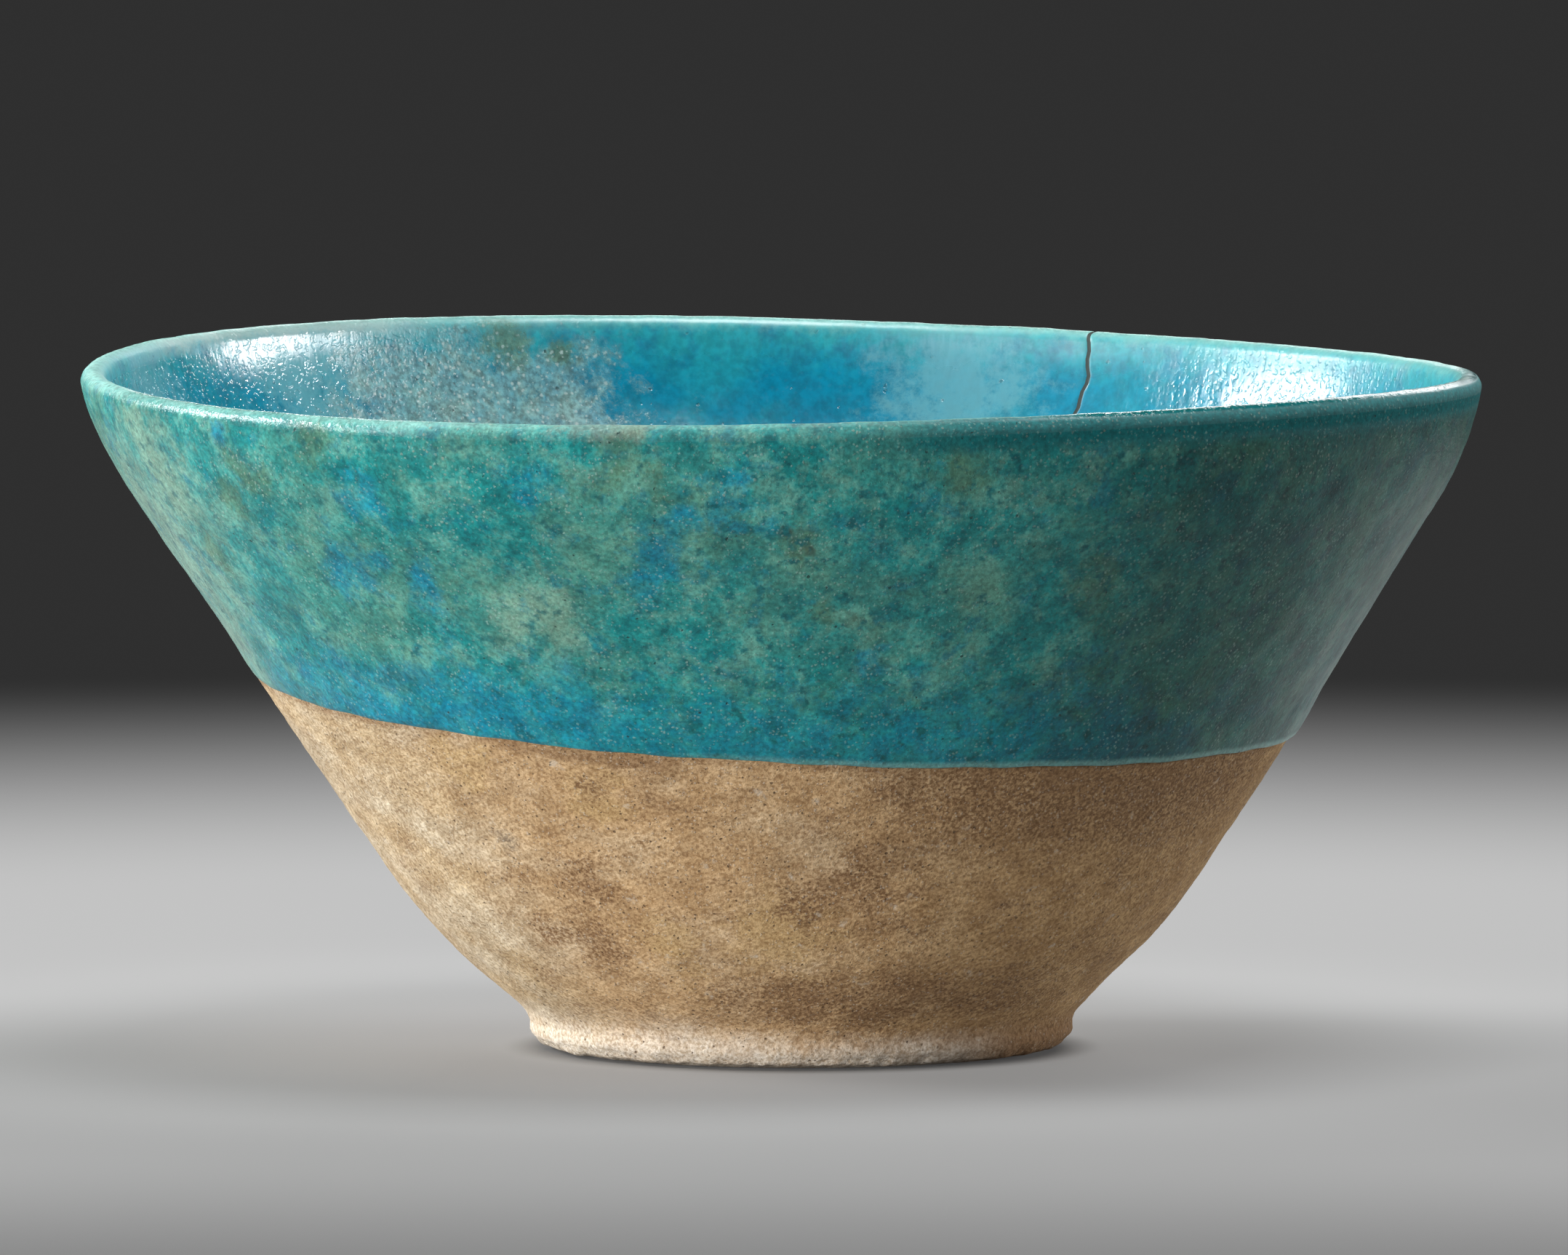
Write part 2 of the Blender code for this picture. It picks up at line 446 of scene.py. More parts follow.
def clay_piece(name, section, hidden_count, turns, closed):
    """A piece of clay, turned and laid out flat. Returns it, its places and 1 for each shown point."""
    piece, ring = turned(name, section + section[:1] if closed else section, turns)
    ring = ring % len(section)
    hidden = np.arange(len(section)) >= len(section) - hidden_count
    lay_flat(piece, shares(section, hidden)[ring])
    places = places_of(piece)
    mark(piece, "above_edge", above_edge(places))
    return piece, places, np.where(hidden[ring], 0.0, 1.0)


def grained(piece, group, fine_depth=0.17 * MM):
    """Gives a group the clay's broad and fine lumps."""
    roughen(piece, group, 5.0 * MM, 0.22 * MM)
    roughen(piece, group, 1.3 * MM, fine_depth)


def stonepaste_body():
    """The moulded cone, fine where it is bare, coarse under the glaze and cut back where the glaze begins."""
    bare_top = DIP_HEIGHT + 8 * MM
    centre = Vector((0.0, SEAT_HEIGHT))
    seat = Vector((SEAT_RADIUS, SEAT_HEIGHT))
    base = [centre] + [point for point, _ in line(centre, seat, FLOOR_SPACING)]
    bare = [point for point, _ in outer_skin(CLAY_SPACING) if point.y < bare_top]
    covered = [point for point, _ in outer_skin(HIDDEN_SPACING) if point.y > bare_top + HIDDEN_SPACING / 2]
    covered += [point for point, _ in lip_skin(HIDDEN_SPACING)[1:] + inner_skin(HIDDEN_SPACING)[1:]]
    section = base + bare + covered
    piece, places, shown = clay_piece("stonepaste_body", section, len(covered), CLAY_TURNS, closed=False)
    weigh(piece, "bare", shown)
    glazed = smoothly(above_edge(places), 0.3 * MM, 1.5 * MM)
    glazed[(shown == 0) | (places[:, 2] < 0.03)] = 0.0
    _, off_cone = ways_on_cone(azimuths(places))
    places -= off_cone * (glazed * UNDERCUT)[:, None]
    put(piece, warped(uneven(places)))
    grained(piece, "bare")
    return piece


def slip_fillet():
    """The slip squeezed out between foot and body, smoothed into a hollow and feathered on to both."""
    face = smoothed_line([Vector(point) * MM for point in SLIP_FACE])
    back = [Vector(point) * MM for point in SLIP_BACK]
    piece, places, shown = clay_piece("slip_fillet", face + back, len(back), FOOT_TURNS, closed=True)
    weigh(piece, "bare", shown)
    put(piece, warped(uneven(places)))
    grained(piece, "bare")
    return piece


def smoothed_line(points):
    """The points with one more between each two, on a smooth curve through them."""
    full = [points[0]]
    for i in range(len(points) - 1):
        before = points[max(i - 1, 0)]
        after = points[min(i + 2, len(points) - 1)]
        full.append((points[i] + points[i + 1]) * 0.5625 - (before + after) * 0.0625)
        full.append(points[i + 1])
    return full


def worn_foot_ring():
    """The foot ring, crumbled at its outer edge and rubbed flat below."""
    worn_centre = Vector((FOOT_RADIUS - FOOT_OUTER_ROUND, FOOT_OUTER_ROUND))
    bore_centre = Vector((FOOT_BORE + FOOT_INNER_ROUND, FOOT_INNER_ROUND))
    worn_edge = arc(worn_centre, FOOT_OUTER_ROUND, 0.0, pi / 2, FOOT_SPACING)
    bore_edge = arc(bore_centre, FOOT_INNER_ROUND, -pi / 2, 0.0, FOOT_SPACING)
    outer_top = Vector((FOOT_RADIUS, FOOT_HEIGHT))
    inner_top = Vector((FOOT_BORE, FOOT_HEIGHT))
    skin = [(inner_top, -pi / 2)] + line(inner_top, bore_edge[0][0], FOOT_SPACING) + bore_edge
    skin += line(bore_edge[-1][0], worn_edge[0][0], FOOT_SPACING) + worn_edge
    skin += line(worn_edge[-1][0], outer_top, FOOT_SPACING) + [(outer_top, pi / 2)]
    top = line(outer_top, inner_top, 2.0 * MM)
    section = [point for point, _ in skin + top]
    piece, places, shown = clay_piece("worn_foot_ring", section, len(top), FOOT_TURNS, closed=True)
    upper = smoothly(places[:, 2], 1.0 * MM, 2.6 * MM)
    outer_side = smoothly(np.hypot(places[:, 0], places[:, 1]), 28.5 * MM, 32.0 * MM)
    weigh(piece, "side", shown * upper)
    weigh(piece, "under", shown * (1 - upper))
    weigh(piece, "worn", outer_side * (1 - smoothly(places[:, 2], 0.8 * MM, 2.4 * MM)))
    put(piece, warped(uneven(places)))
    roughen(piece, "worn", 6.0 * MM, 0.55 * MM, level=1.0)
    roughen(piece, "worn", 1.7 * MM, 0.50 * MM, level=1.0)
    roughen(piece, "under", 1.1 * MM, 0.16 * MM, level=1.0)
    grained(piece, "side", 0.26 * MM)
    return piece


def coat_section():
    """The coat's section: from the floor's middle over the lip to the glaze's edge, and back along its bed.

    For each point it also returns 1 outside, 0 inside and 0.5 at the seam, whether the point is hidden, the
    way off the clay, and the distance along the section past the lip's crest, which is positive inside.
    """
    outside = [place for place in outer_skin(GLAZE_SPACING) if place[0].y > DIP_HEIGHT + BEAD_TOP]
    skin = outside + lip_skin(LIP_SPACING / 2)[1:] + inner_skin(INSIDE_SPACING)[1:]
    above = np.array([(point - EDGE).length for point, _ in skin])
    above[len(outside) :] = np.inf
    lift = COAT - (COAT - BEAD_LIFT) * (1 - smoothly(above, 0.0, BEAD_TAPER))
    surface = [point - left_of(heading) * distance for (point, heading), distance in zip(skin, lift)]
    bead = [EDGE + forward(CONE) * along * MM - left_of(CONE) * off * MM for along, off in BEAD]
    bed_outside = [place for place in outer_skin(HIDDEN_SPACING) if place[0].y > DIP_HEIGHT + BED_START]
    bed_skin = bed_outside + lip_skin(LIP_THICKNESS / 2)[1:] + inner_skin(HIDDEN_SPACING)[1:]
    section = surface[::-1] + bead[::-1] + lifted(bed_skin, -BED_DEPTH)
    bed_start = len(surface) + len(bead)
    number = np.arange(len(section))
    seam, bed_seam = len(surface) - len(outside), bed_start + len(bed_outside) - 1
    outer = np.where((number > seam) & (number < bed_seam), 1.0, 0.0)
    outer[[seam, bed_seam]] = 0.5
    hidden = number > bed_start
    headings = [heading for _, heading in skin[::-1] + [(EDGE, CONE)] * len(bead) + bed_skin]
    off_clay = np.array([-left_of(heading) for heading in headings])
    run = steps_between(section).cumsum()
    crest = max(range(len(surface)), key=lambda i: section[i].y)
    bed_crest = max(range(bed_start, len(section)), key=lambda i: section[i].y)
    past = np.where(hidden, run - run[bed_crest], run[crest] - run)
    return section, outer, hidden, off_clay, past


def glaze_coats():
    """The inner and the outer coat, shaped as one and parted at the lip's outer corner."""
    section, outer, hidden, off_clay, past = coat_section()
    piece, ring = turned("inner_glaze_coat", section, GLAZE_TURNS)
    lay_flat(piece, coat_layout(section, outer, hidden)[ring])
    outer, hidden, off_clay, past = outer[ring], hidden[ring], off_clay[ring], past[ring]
    places = places_of(piece)
    height, azimuth = places[:, 2].copy(), azimuths(places)
    above = np.where(outer > 0.25, (height - DIP_HEIGHT) / sin(CONE), 0.1)
    mark(piece, "above_edge", above)
    mark(piece, "past_crest", past)

    along_cone, off_cone = ways_on_cone(azimuth)
    lower = np.clip((SLIDE_TOP - height) / (SLIDE_TOP - DIP_HEIGHT), 0.0, 1.0)
    beaded = 1 - smoothly(height, DIP_HEIGHT, DIP_HEIGHT + BEAD_TAPER)
    walled = 1 - smoothly(height, 0.062, 0.078)
    lower[outer < 0.75] = 0.0
    for share in (beaded, walled):
        share[(outer < 0.75) | hidden] = 0.0
    places += along_cone * (lower * dip_slide(azimuth))[:, None]
    bead_swell = 0.19 * np.cos(azimuth) - 0.14
    wall_swell = 0.10 * np.cos(azimuth) - 0.52
    swell = beaded * bead_swell + (walled - beaded) * wall_swell
    places += off_cone * (swell * MM)[:, None]
    places, crack = cracked(places, past, off_clay, hidden)
    mark(piece, "crack", crack)
    put(piece, warped(uneven(places)))

    shown = np.where(hidden, 0.0, 1.0) * (1 - crack)
    clear_of_edge = smoothly(above, 0.2 * MM, 1.2 * MM)
    outside = np.maximum(np.where(outer > 0.25, 1.0, 0.0), 1 - smoothly(past, -2 * MM, 3 * MM))
    weigh(piece, "outside", shown * clear_of_edge * outside)
    weigh(piece, "inside", shown * (1 - outside))
    weigh(piece, "lip", shown * (1 - smoothly(np.abs(past), 1.0 * MM, 4.5 * MM)))
    roughen(piece, "outside", 7.0 * MM, 0.22 * MM)
    roughen(piece, "outside", 1.9 * MM, 0.13 * MM)
    roughen(piece, "inside", 8.0 * MM, 0.25 * MM)
    roughen(piece, "inside", 2.6 * MM, 0.07 * MM)
    roughen(piece, "lip", 3.6 * MM, 0.12 * MM)
    return parted(piece, outer)


def coat_layout(section, outer, hidden):
    """Where each point of the coat's section lies across the flat layout of its own half."""
    across = np.zeros(len(section))
    run = steps_between(section).cumsum()
    for half in (outer < 0.75, outer > 0.25):
        shown, bed = half & ~hidden, half & hidden
        across[shown] = (run[shown] - run[shown].min()) / np.ptp(run[shown]) * SHOWN_COAT
        across[bed] = 1.0 - (run[bed] - run[bed].min()) / np.ptp(run[bed]) * HIDDEN_COAT
    return across


def cracked(places, past, off_clay, hidden):
    """Draws the coat's columns together along the crack and sinks the middle one.

    Returns the new places and the crack's share of each.
    """
    azimuth = azimuths(places)
    radius = np.hypot(places[:, 0], places[:, 1])
    length = np.where(past > 0, CRACK_INSIDE, CRACK_OUTSIDE)
    reach = 1 - smoothly(np.abs(past), length - CRACK_FADE, length)
    apart = (azimuth - CRACK_SIDE + pi) % tau - pi
    gap = apart * radius
    narrowed = gap * (0.36 + 0.64 * smoothly(np.abs(gap), 0.8 * MM, 4.2 * MM))
    depth = np.abs(past) / MM
    jog = 0.34 * np.sin(depth / 1.7 + 0.6) + 0.18 * np.sin(depth / 0.62) - 0.5 * np.sin(depth / 6.5 + 2.2)
    narrowed += jog * MM * (1 - smoothly(np.abs(gap), 0.5 * MM, 7.0 * MM))
    narrowed = gap + (narrowed - gap) * reach
    moved = CRACK_SIDE + narrowed / np.maximum(radius, MM)
    azimuth = np.where(np.abs(gap) < CRACK_ZONE, moved, azimuth)
    outward = np.stack([np.cos(azimuth), np.sin(azimuth)], 1)
    places = np.concatenate([outward * radius[:, None], places[:, 2:]], 1)
    middle = np.abs(apart) < tau / GLAZE_TURNS / 2
    sink = np.where(middle & ~hidden, reach, 0.0)
    off_surface = np.concatenate([outward * off_clay[:, :1], off_clay[:, 1:]], 1)
    return places - off_surface * (sink * CRACK_DEPTH)[:, None], sink


def parted(coat, outer):
    """Parts the coat into its two pieces, closes both along the cut and keeps their shading continuous."""
    mesh = coat.data
    normals = np.array([normal.vector for normal in mesh.vertex_normals], np.float32)
    held = mesh.attributes.new("held_normal", "FLOAT_VECTOR", "POINT")
    held.data.foreach_set("vector", normals.ravel())
    corner, first, sides = corners_of(mesh)
    activate(coat)
    start_editing()
    bpy.ops.mesh.select_mode(type="FACE")
    bpy.ops.mesh.select_all(action="DESELECT")
    stop_editing()
    mesh.polygons.foreach_set("select", np.add.reduceat(outer[corner], first) / sides > 0.5)
    start_editing()
    bpy.ops.mesh.separate(type="SELECTED")
    stop_editing()
    outer_coat = next(piece for piece in bpy.context.selected_objects if piece != coat)
    outer_coat.name = outer_coat.data.name = "outer_glaze_coat"
    for piece in (coat, outer_coat):
        activate(piece)
        start_editing()
        bpy.ops.mesh.select_mode(type="EDGE")
        bpy.ops.mesh.select_all(action="DESELECT")
        bpy.ops.mesh.select_non_manifold(extend=False)
        bpy.ops.mesh.bridge_edge_loops()
        stop_editing()
        kept = numbers(piece.data.attributes["held_normal"].data, "vector", 3)
        piece.data.normals_split_custom_set_from_vertices(kept.tolist())
        piece.data.attributes.remove(piece.data.attributes["held_normal"])
    return coat, outer_coat


# Colours of the clay
PALE_BUFF = (0.605, 0.505, 0.365)
BUFF = (0.56, 0.425, 0.26)
TAN = (0.55, 0.365, 0.195)
# Partly painted shade: the browner tan of the right side
SHADED_BROWN_TAN = (0.50, 0.325, 0.16)
# Used for umber stains and for painted shade
UMBER_AND_SHADE = (0.31, 0.18, 0.085)
OCHRE = (0.60, 0.41, 0.19)
ASH = (0.27, 0.22, 0.17)
CHALK = (0.80, 0.735, 0.64)
QUARTZ = (0.80, 0.71, 0.58)
PIT = (0.12, 0.07, 0.035)
SOILED = (0.64, 0.56, 0.46)
CLEAN = (1.21, 1.23, 1.25)
DUSTY = (0.86, 0.81, 0.74)

# Colours of the glaze
DEEP_TEAL = (0.003, 0.190, 0.195)
TURQUOISE = (0.012, 0.275, 0.262)
PALE_GREEN = (0.125, 0.380, 0.310)
LIGHT_GREEN = (0.230, 0.420, 0.315)
SEA_GREEN = (0.105, 0.300, 0.210)
BOTTLE_GREEN = (0.003, 0.140, 0.155)
FLECK_BLUE = (0.003, 0.205, 0.275)
BLUE = (0.000, 0.235, 0.385)
LIGHT_BLUE = (0.012, 0.300, 0.370)
OLIVE = (0.100, 0.190, 0.095)
RUST = (0.070, 0.098, 0.060)
LIP_GREEN = (0.260, 0.540, 0.490)
# Partly painted shade: dark teal under the lip on the shaded right
LIP_TEAL_AND_SHADE = (0.002, 0.150, 0.160)
WORN_LIP = (0.250, 0.255, 0.200)
POOL_BLUE = (0.000, 0.250, 0.390)
SHORE_BLUE = (0.018, 0.375, 0.410)
DARK_POOL = (0.000, 0.175, 0.290)
# Painted reflection: a pale haze laid into the inner glaze's colour
PAINTED_HAZE = (0.170, 0.460, 0.510)
CRUST = (0.245, 0.425, 0.390)
GLAZED_GRAIN = (0.400, 0.600, 0.530)
# Used for the crust's pale grains and for a painted glare at the far-left lip
CRUST_GRAIN_AND_GLARE = (0.520, 0.620, 0.580)
BEIGE_GRAIN = (0.430, 0.440, 0.350)
GLAZE_PIT = (0.012, 0.045, 0.042)
CRACK_DIRT = (0.014, 0.030, 0.024)
# Painted shade: tints that darken the outer glaze low on the front and on the right
PAINTED_LOW_SHADE = (0.60, 0.88, 0.80)
PAINTED_RIGHT_SHADE = (0.26, 0.42, 0.40)


# Materials


class Shading:
    """Places nodes in one tree. Most methods return an output socket to feed the next.

    Where a method takes a place and none is given, it is the piece's own. A look is painted: colour holds
    what is painted so far, and lay and tint paint over it.
    """

    def __init__(self, tree):
        self.tree = tree
        self.colour = None

    def node(self, kind, *values, **settings):
        """A new node with its settings, its inputs fed in their order."""
        made = self.tree.nodes.new("ShaderNode" + kind)
        for name, value in settings.items():
            setattr(made, name, value)
        for socket, value in zip(made.inputs, values):
            self.feed(socket, value)
        return made

    def feed(self, socket, value):
        """Links a socket to an output, or sets it to a number, a vector or a colour."""
        if isinstance(value, bpy.types.NodeSocket):
            self.tree.links.new(value, socket)
        elif socket.type == "RGBA" and len(value) == 3:
            socket.default_value = (*value, 1.0)
        else:
            socket.default_value = value

    def fill(self, made, **values):
        """Feeds inputs of a node by their names, with _ for a space."""
        for name, value in values.items():
            self.feed(made.inputs[name.replace("_", " ")], value)

    @cached_property
    def place(self):
        """Object coordinates."""
        return self.node("TexCoord").outputs["Object"]

    def point_value(self, name):
        """A value stored on the piece's points."""
        return self.node("Attribute", attribute_name=name).outputs["Fac"]

    def crack(self):
        """The mask of the crack."""
        return self.between(self.point_value("crack"), 0.02, 0.22)

    def maths(self, operation, first, second=0.0):
        """One operation on one or two values."""
        return self.node("Math", first, second, operation=operation).outputs[0]

    def folded(self, operation, values):
        """One operation over several values, from the first to the last."""
        return reduce(lambda so_far, value: self.maths(operation, so_far, value), values)

    def times(self, *values):
        """The product of several values."""
        return self.folded("MULTIPLY", values)

    def plus(self, *values):
        """The sum of several values."""
        return self.folded("ADD", values)

    def most(self, *values):
        """The largest of several values."""
        return self.folded("MAXIMUM", values)

    def rest(self, value):
        """What a value leaves of 1."""
        return self.maths("SUBTRACT", 1.0, value)

    def vector(self, operation, first, second=(0.0, 0.0, 0.0)):
        """One operation on one or two vectors, which makes a vector or a value."""
        single = operation in ("DISTANCE", "LENGTH", "DOT_PRODUCT")
        made = self.node("VectorMath", first, second, operation=operation)
        return made.outputs["Value" if single else "Vector"]

    def moved(self, *step):
        """The piece's own place, moved so that a noise differs."""
        return self.vector("ADD", self.place, step)

    def stretched(self, *factors):
        """The piece's own place, with a factor for each axis."""
        return self.vector("MULTIPLY", self.place, factors)

    def scaled(self, vector, factor):
        """A vector times a value."""
        made = self.node("VectorMath", vector, operation="SCALE")
        self.fill(made, Scale=factor)
        return made.outputs["Vector"]

    def noise(self, size, detail, roughness, place=None, output="Fac"):
        """Cloudy noise whose lumps are about a size across."""
        made = self.node("TexNoise", place or self.place)
        self.fill(made, Scale=1.0 / size, Detail=detail, Roughness=roughness)
        return made.outputs[output]

    def cells(self, place, size):
        """Distance from the middle of the nearest of many random cells, and two random values of it."""
        made = self.node("TexVoronoi", place)
        self.fill(made, Scale=1.0 / size)
        pick = self.node("SeparateColor", made.outputs["Color"]).outputs
        return made.outputs["Distance"], pick[0], pick[1]

    def between(self, value, low, high, bottom=0.0, top=1.0):
        """A smooth climb from bottom, at low, to top, at high. Low may be the larger."""
        made = self.node("MapRange", value, low, high, bottom, top, interpolation_type="SMOOTHSTEP")
        return made.outputs[0]

    def mixed(self, share, first, second, blend="MIX"):
        """One colour laid over another by a share."""
        made = self.node("Mix", share, data_type="RGBA", blend_type=blend)
        self.feed(made.inputs[6], first)
        self.feed(made.inputs[7], second)
        return made.outputs[2]

    def lay(self, colour, *shares):
        """Paints a colour over the look, by the product of some shares."""
        self.colour = self.mixed(self.times(*shares), self.colour, colour)

    def tint(self, colour, share=1.0):
        """Multiplies the look by a colour, by a share."""
        self.colour = self.mixed(share, self.colour, colour, "MULTIPLY")

    def grey(self, value):
        """A grey of that brightness."""
        return self.node("CombineColor", value, value, value).outputs[0]

    def height(self, place=None):
        """How high a place is."""
        return self.node("SeparateXYZ", place or self.place).outputs["Z"]

    def strokes(self, radius, slant, length, width):
        """Noise drawn out into slanting strokes around the axis, none at the back."""
        x, y, z = self.node("SeparateXYZ", self.place).outputs
        turn = self.maths("ARCTAN2", x, self.times(y, -1.0))
        flat = self.node("CombineXYZ", self.times(turn, radius), z).outputs[0]
        leaning = self.node("VectorRotate", flat, rotation_type="Z_AXIS")
        self.fill(leaning, Angle=radians(-slant))
        drawn_out = self.vector("MULTIPLY", leaning.outputs[0], (width / length, 1.0, 1.0))
        return self.by_side(90, 40, 20, self.noise(width, 3.0, 0.6, drawn_out), 0.5)

    def patches(self, surface, spots, place=None):
        """One mask for spots on a surface, full only at their centres.

        A spot is an azimuth in degrees and a height and a reach in millimetres.
        """
        masks = []
        for azimuth, height, reach in spots:
            distance = self.vector("DISTANCE", place or self.place, tuple(surface(azimuth, height)))
            masks.append(self.between(distance, reach * MM, 0.0))
        return self.most(*masks)

    def stains(self, surface, spots, cloud, place=None):
        """Spots on a surface that break up along a cloudy noise."""
        return self.dissolved(self.patches(surface, spots, place), cloud)

    def side(self, azimuth, reach, core, place=None):
        """1 within a core angle of one side of the axis, falling to 0 at a reach, all in degrees."""
        flat = self.vector("NORMALIZE", self.vector("MULTIPLY", place or self.place, (1.0, 1.0, 0.0)))
        facing = (cos(radians(azimuth)), sin(radians(azimuth)), 0.0)
        nearness = self.vector("DOT_PRODUCT", flat, facing)
        return self.between(nearness, cos(radians(reach)), cos(radians(core)))

    def by_side(self, azimuth, reach, core, elsewhere, there):
        """A value that is different on one side of the axis."""
        return self.between(self.side(azimuth, reach, core), 0.0, 1.0, elsewhere, there)

    def dissolved(self, mask, cloud):
        """A mask whose soft edge breaks up along a cloudy noise."""
        return self.between(self.plus(self.times(mask, 0.42), cloud), 0.62, 0.92)

    def ragged(self, size, amount, place=None):
        """Places shaken by noise, so that what is drawn on them has ragged edges."""
        place = place or self.place
        shake = self.noise(size, 3.0, 0.6, place, "Color")
        centred = self.vector("SUBTRACT", shake, (0.5, 0.5, 0.5))
        return self.vector("ADD", place, self.scaled(centred, amount))

    def effect(self, group, **values):
        """Places a node group with its own values."""
        made = self.node("Group", node_tree=group)
        self.fill(made, **values)
        return made.outputs


def effect_group(name, inputs, outputs):
    """A new node group with (name, start) inputs and (name, kind) outputs, its shading and its two ends."""
    group = bpy.data.node_groups.new(name, "ShaderNodeTree")
    for label, start in inputs:
        socket = group.interface.new_socket(label, in_out="INPUT", socket_type="NodeSocketFloat")
        socket.default_value = start
    for label, kind in outputs:
        group.interface.new_socket(label, in_out="OUTPUT", socket_type="NodeSocket" + kind)
    given = group.nodes.new("NodeGroupInput").outputs
    result = group.nodes.new("NodeGroupOutput").inputs
    return group, Shading(group), given, result


def speckled_grain():
    """Sandy grain, pale quartz grains of uneven size and tone, and dark pits."""
    inputs = [("Grain Size", 0.6 * MM), ("Pale Share", 0.3), ("Pit Share", 0.3)]
    outputs = [("Grain", "Float"), ("Pale", "Float"), ("Tone", "Float"), ("Pits", "Float")]
    group, s, given, result = effect_group("speckled_grain", inputs, outputs)
    place = s.scaled(s.place, s.maths("DIVIDE", 1.0, given["Grain Size"]))
    broken = s.ragged(0.8, 1.1, place)
    s.feed(result["Grain"], s.noise(1.3, 3.0, 0.65, place))
    distance, pick, tone = s.cells(broken, 1.0)
    chosen = s.maths("GREATER_THAN", pick, s.rest(given["Pale Share"]))
    reach = s.between(tone, 0.0, 1.0, 0.25, 0.60)
    s.feed(result["Pale"], s.times(chosen, s.between(distance, reach, s.times(reach, 0.3))))
    s.feed(result["Tone"], s.maths("FRACT", s.times(tone, 7.0)))
    distance, pick, width = s.cells(s.vector("ADD", broken, (7.3, 1.9, 4.1)), 2.4)
    chosen = s.maths("GREATER_THAN", pick, s.rest(given["Pit Share"]))
    reach = s.between(width, 0.0, 1.0, 0.10, 0.24)
    s.feed(result["Pits"], s.times(chosen, s.between(distance, reach, s.times(reach, 0.4))))
    return group


GRAIN = speckled_grain()
LOOK = [("Color", "Color"), ("Roughness", "Float"), ("Height", "Float")]


def clay_ground(s, wiped, wiping):
    """The buff ground, tanned on two sides, blotched and wiped; the tan on the front and the brown tan on the
    right are partly painted shade.
    """
    cloud = s.noise(15 * MM, 4.0, 0.60, wiped)
    s.colour = s.mixed(s.between(cloud, 0.36, 0.64), PALE_BUFF, BUFF)
    # Partly painted shade: tan on the front and brown tan on the right, while the lit left stays pale
    tanned_and_shaded = s.most(s.side(290, 75, 45), s.side(95, 60, 20))
    s.lay(TAN, tanned_and_shaded, s.between(cloud, 0.30, 0.60, 0.65, 1.0))
    s.lay(SHADED_BROWN_TAN, s.side(325, 50, 15))
    blotch = s.noise(4.5 * MM, 4.0, 0.60)
    s.tint(s.mixed(s.between(blotch, 0.30, 0.70), DUSTY, CLEAN))
    s.tint(s.mixed(s.between(wiping, 0.30, 0.70), DUSTY, CLEAN), 0.55)


def clay_stains(s, drift, smear, settled):
    """Ochre, brown and ash stains."""
    bent = s.ragged(10 * MM, 16 * MM)
    ochre = [(268, 16.7, 14), (252, 15.0, 10), (246, 34.0, 9), (229, 38.5, 7), (30, 25.0, 14)]
    s.lay(OCHRE, s.stains(on_wall, ochre, drift, bent), 0.6)
    brown = [(246, 35.5, 5), (283, 36.8, 8), (279, 23.8, 13), (273, 21.5, 10), (289, 9.1, 14)]
    brown += [(272, 9.5, 10), (235, 16.3, 9), (242, 22.9, 9), (320, 32.3, 12), (304, 31.2, 9)]
    brown += [(306, 38.0, 12), (95, 18.0, 15), (150, 28.0, 11), (40, 12.0, 12)]
    s.lay(UMBER_AND_SHADE, s.stains(on_wall, brown, drift, bent), settled, 0.92)
    ash = [(230.5, 28.2, 4), (150, 22.0, 5)]
    s.lay(ASH, s.stains(on_wall, ash, smear), settled, 0.7)


def clay_shades(s, drift, smear, settled):
    """Umber under the glaze's edge and down its run; painted shade on the shaded right, above the foot and
    low down on the right.
    """
    below = s.point_value("above_edge")
    line_under = s.times(s.between(below, -0.0014, -0.0002), s.between(drift, 0.35, 0.60, 0.15, 0.70))
    run_under = s.times(s.between(below, -0.0040, -0.0004), s.side(247, 18, 8), 0.9)
    s.lay(UMBER_AND_SHADE, s.most(line_under, s.times(s.dissolved(run_under, smear), 0.8)))
    # Painted shade: umber on the shaded right and in a band just above the foot
    shaded = s.times(s.side(314, 38, 16), s.between(below, -0.018, -0.005, 0.0, 1.05))
    height = s.height()
    shade_band = s.times(s.between(height, 0.0145, 0.0095), s.between(height, 0.0052, 0.0072))
    shade_band = s.times(shade_band, s.side(291, 42, 20), s.between(drift, 0.35, 0.62, 0.45, 1.00))
    s.lay(UMBER_AND_SHADE, s.most(shaded, shade_band), settled)
    # Painted shade low down on the right, then darker patches low down all round
    low = s.between(height, 0.0068, 0.0022)
    s.lay(UMBER_AND_SHADE, low, s.side(335, 60, 25))
    s.lay(UMBER_AND_SHADE, low, s.between(s.noise(1.1 * MM, 3.0, 0.6), 0.55, 0.68), 0.6)


def chalky_foot(s):
    """Chalky wear with a torn upper edge, highest on the lit left and none on the shaded right or at the
    back, which is partly painted light.
    """
    # Partly painted light: the wear reaches higher on the lit left and is absent on the shaded right
    reach = s.by_side(208, 75, 25, 0.0052, 0.0080)
    torn = s.height(s.ragged(3.5 * MM, 4.0 * MM))
    worn = s.times(s.between(torn, reach, s.times(reach, 0.15)), s.side(240, 88, 58))
    s.lay(CHALK, worn, s.between(s.noise(2.2 * MM, 5.0, 0.7), 0.34, 0.60, 0.54, 0.80))


